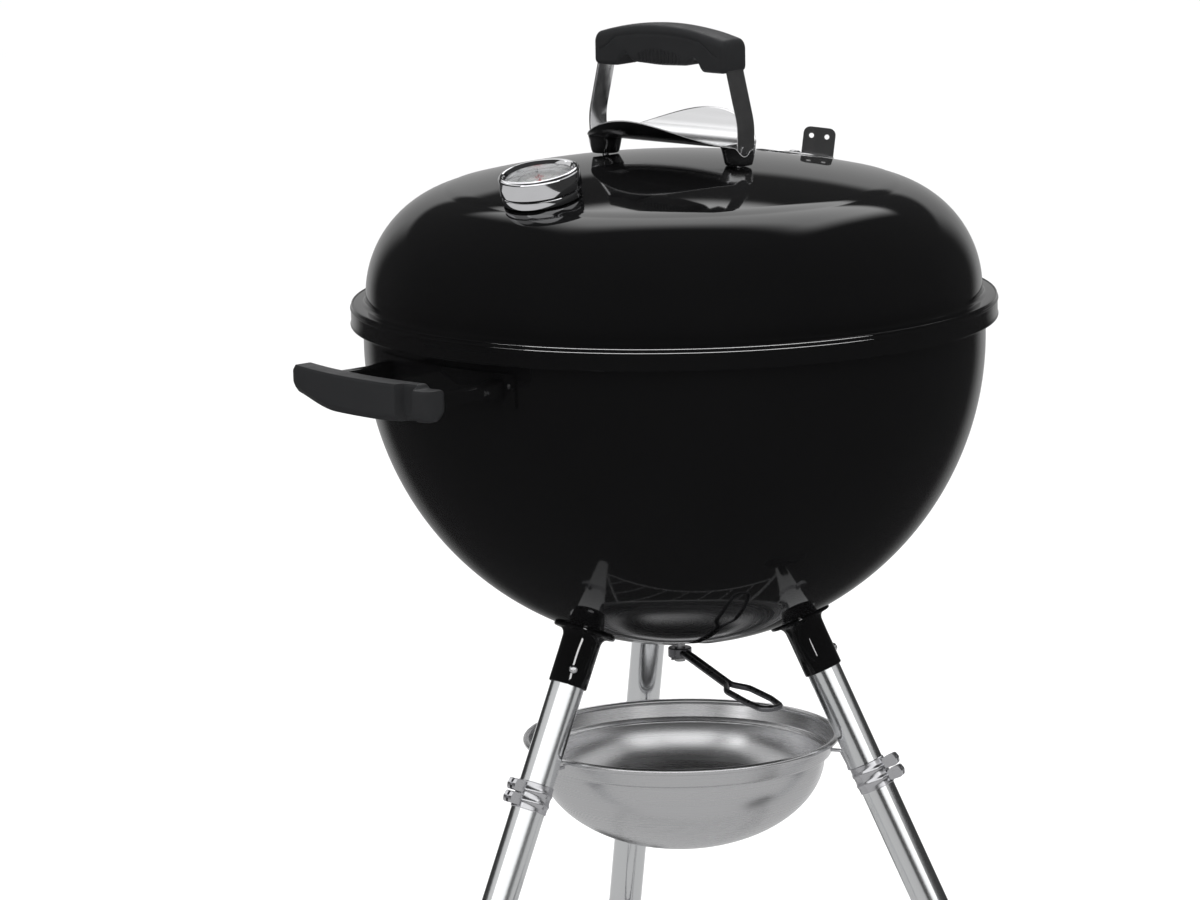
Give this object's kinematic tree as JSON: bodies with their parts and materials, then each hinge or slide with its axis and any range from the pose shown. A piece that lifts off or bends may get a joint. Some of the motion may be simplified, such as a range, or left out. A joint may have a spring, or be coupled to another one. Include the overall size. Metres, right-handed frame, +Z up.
{
  "type": "kettle charcoal grill",
  "caption": "Round enamelled kettle grill with a domed lid, side handle, three tube legs, two wheels and a hanging ash pan.",
  "frame": {"origin": "on the kettle's vertical axis, at ground level", "axes": "+Z up, -X towards the side handle and the leg with the foot, +X towards the wheels"},
  "size_m": [0.6855, 0.6854, 1.068],
  "materials": {
    "enamel": "gloss black porcelain enamel",
    "nylon": "moulded glass-filled nylon, fine grain",
    "leg_aluminium": "polished tube",
    "pan_aluminium": "satin pressed sheet",
    "bright_steel": "bright nickel-plated pressing",
    "plated_steel": "zinc-plated wire and fasteners",
    "spring_steel": "bright spring steel strip",
    "dark_steel": "blackened steel rod",
    "sweeper_steel": "aluminised steel",
    "chrome": "polished chrome",
    "glass": "clear flat glass",
    "dial_face": "matte white printed dial",
    "needle_red": "matte red paint",
    "wheel_plastic": "moulded black plastic",
    "grate_steel": "plated steel wire"
  },
  "bodies": {
    "stand": {"bowl": "enamel", "grate_brackets": "enamel", "coal_brackets": "enamel", "side_handle_bracket": "enamel", "side_handle": "nylon", "side_handle_screws": "plated_steel", "socket_foot_leg": "enamel", "socket_left": "enamel", "socket_right": "enamel", "leg_foot_side": "leg_aluminium", "leg_wheel_left": "leg_aluminium", "leg_wheel_right": "leg_aluminium", "foot_cap": "wheel_plastic", "axle": "plated_steel", "push_nuts": "spring_steel", "bottom_rack": "plated_steel", "pan_clip_foot_leg": "spring_steel", "pan_clip_left": "spring_steel", "pan_clip_right": "spring_steel", "spring_foot_leg": "spring_steel", "spring_left": "spring_steel", "spring_right": "spring_steel"},
    "lid": {"lid_shell": "enamel", "lid_hook": "plated_steel", "heat_shield": "bright_steel", "handle_bolts": "plated_steel", "handle_nuts": "plated_steel", "handle_straps": "bright_steel", "grip_screws": "plated_steel", "lid_grip": "nylon", "damper_rivet": "plated_steel", "thermometer_base": "chrome", "thermometer_bezel": "chrome", "thermometer_lens": "glass", "thermometer_dial": "dial_face", "thermometer_probe": "plated_steel", "thermometer_nut": "plated_steel"},
    "lid_damper": {"damper": "bright_steel"},
    "needle": {"thermometer_needle": "needle_red"},
    "sweeper": {"sweeper_blades": "sweeper_steel", "sweeper_hub": "sweeper_steel", "ash_lever": "dark_steel", "cotter_pin": "plated_steel"},
    "left_wheel": {"wheel_left": "wheel_plastic", "hub_cap_left": "bright_steel"},
    "right_wheel": {"wheel_right": "wheel_plastic", "hub_cap_right": "bright_steel"},
    "cooking_rack": {"cooking_grate": "grate_steel", "grate_handles": "grate_steel"},
    "charcoal_rack": {"coal_grate": "grate_steel"},
    "pan": {"ash_pan": "pan_aluminium"},
    "foot_leg_button": {"button_foot_leg": "plated_steel"},
    "left_button": {"button_left": "plated_steel"},
    "right_button": {"button_right": "plated_steel"}
  },
  "joints": [
    {"name": "lid_lift", "type": "slide", "parent": "stand", "child": "lid", "axis": [0, 0, 1], "range_m": [0, 0.3]},
    {"name": "damper_turn", "type": "hinge", "parent": "lid", "child": "lid_damper", "pos_m": [0.17648, 0.02323, 0.92733], "axis": [0.2005, 0.0264, 0.9793], "range_deg": [0, 60]},
    {"name": "needle_turn", "type": "hinge", "parent": "lid", "child": "needle", "pos_m": [-0.17648, -0.02323, 0.92733], "axis": [-0.2005, -0.0264, 0.9793], "range_deg": [-270, 0]},
    {"name": "sweeper_turn", "type": "hinge", "parent": "stand", "child": "sweeper", "pos_m": [0, 0, 0.482], "axis": [0, 0, 1], "range_deg": [-30, 30]},
    {"name": "left_wheel_spin", "type": "hinge", "parent": "stand", "child": "left_wheel", "pos_m": [0.16209, 0.32075, 0.075], "axis": [0, 1, 0], "continuous": true},
    {"name": "right_wheel_spin", "type": "hinge", "parent": "stand", "child": "right_wheel", "pos_m": [0.16209, -0.32075, 0.075], "axis": [0, 1, 0], "continuous": true},
    {"name": "cooking_grate_lift", "type": "slide", "parent": "stand", "child": "cooking_rack", "axis": [0, 0, 1], "range_m": [0, 0.02]},
    {"name": "charcoal_grate_lift", "type": "slide", "parent": "stand", "child": "charcoal_rack", "axis": [0, 0, 1], "range_m": [0, 0.05]},
    {"name": "ash_pan_lift", "type": "slide", "parent": "stand", "child": "pan", "axis": [0, 0, 1], "range_m": [0, 0.012]},
    {"name": "foot_leg_button_press", "type": "slide", "parent": "stand", "child": "foot_leg_button", "axis": [0.5826, 0.766, -0.2717], "range_m": [0, 0.004], "stiffness_N_per_m": 500, "springref_m": -0.002, "deforming": ["spring_foot_leg"]},
    {"name": "left_button_press", "type": "slide", "parent": "stand", "child": "left_button", "axis": [0.3721, -0.8875, -0.2717], "range_m": [0, 0.004], "stiffness_N_per_m": 500, "springref_m": -0.002, "deforming": ["spring_left"]},
    {"name": "right_button_press", "type": "slide", "parent": "stand", "child": "right_button", "axis": [-0.9547, 0.1215, -0.2717], "range_m": [0, 0.004], "stiffness_N_per_m": 500, "springref_m": -0.002, "deforming": ["spring_right"]}
  ]
}
